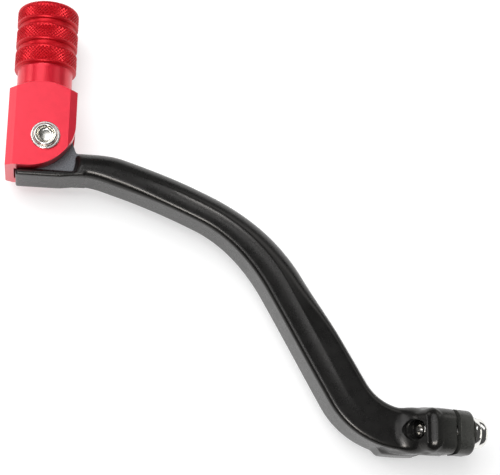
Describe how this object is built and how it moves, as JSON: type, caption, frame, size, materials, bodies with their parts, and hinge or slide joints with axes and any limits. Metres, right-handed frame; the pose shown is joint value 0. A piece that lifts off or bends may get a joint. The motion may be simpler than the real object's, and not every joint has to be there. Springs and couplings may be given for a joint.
{
  "type": "gear shift lever",
  "caption": "Motorcycle gear shift lever: S-shaped forged arm with a splined split clamp at one end and a sprung folding tip with a knurled peg at the other.",
  "frame": {"origin": "centre of the splined bore, halfway along the clamp", "axes": "+Y along the shift shaft's axis, the way the peg points; +X away from the tip; +Z the side on which the clamp is split"},
  "size_m": [0.1548, 0.1428, 0.028],
  "materials": {
    "black_anodised_forging": "satin black anodised forging, fine grain",
    "red_anodised_tip": "satin red anodised, turned, milled and knurled",
    "rivet_steel": "bright nickel plated steel",
    "washer_steel": "bright nickel plated steel",
    "bolt_chrome": "polished chrome plated steel",
    "sleeve_steel": "turned steel, greased",
    "spring_steel": "oiled spring wire"
  },
  "bodies": {
    "lever": {"lever_arm": "black_anodised_forging", "pinch_bolt": "bolt_chrome", "return_spring": "spring_steel"},
    "tip": {"folding_tip": "red_anodised_tip", "pivot_rivet": "rivet_steel", "pivot_sleeve": "sleeve_steel", "front_rivet_washer": "washer_steel", "rear_rivet_washer": "washer_steel"}
  },
  "joints": [
    {"name": "tip_fold", "type": "hinge", "parent": "lever", "child": "tip", "pos_m": [-0.1277, 0.0889, 0.004], "axis": [0, 0, -1], "range_deg": [0, 55], "stiffness_Nm_per_rad": 0.2, "springref_deg": -57.3, "deforming": ["return_spring"]}
  ]
}
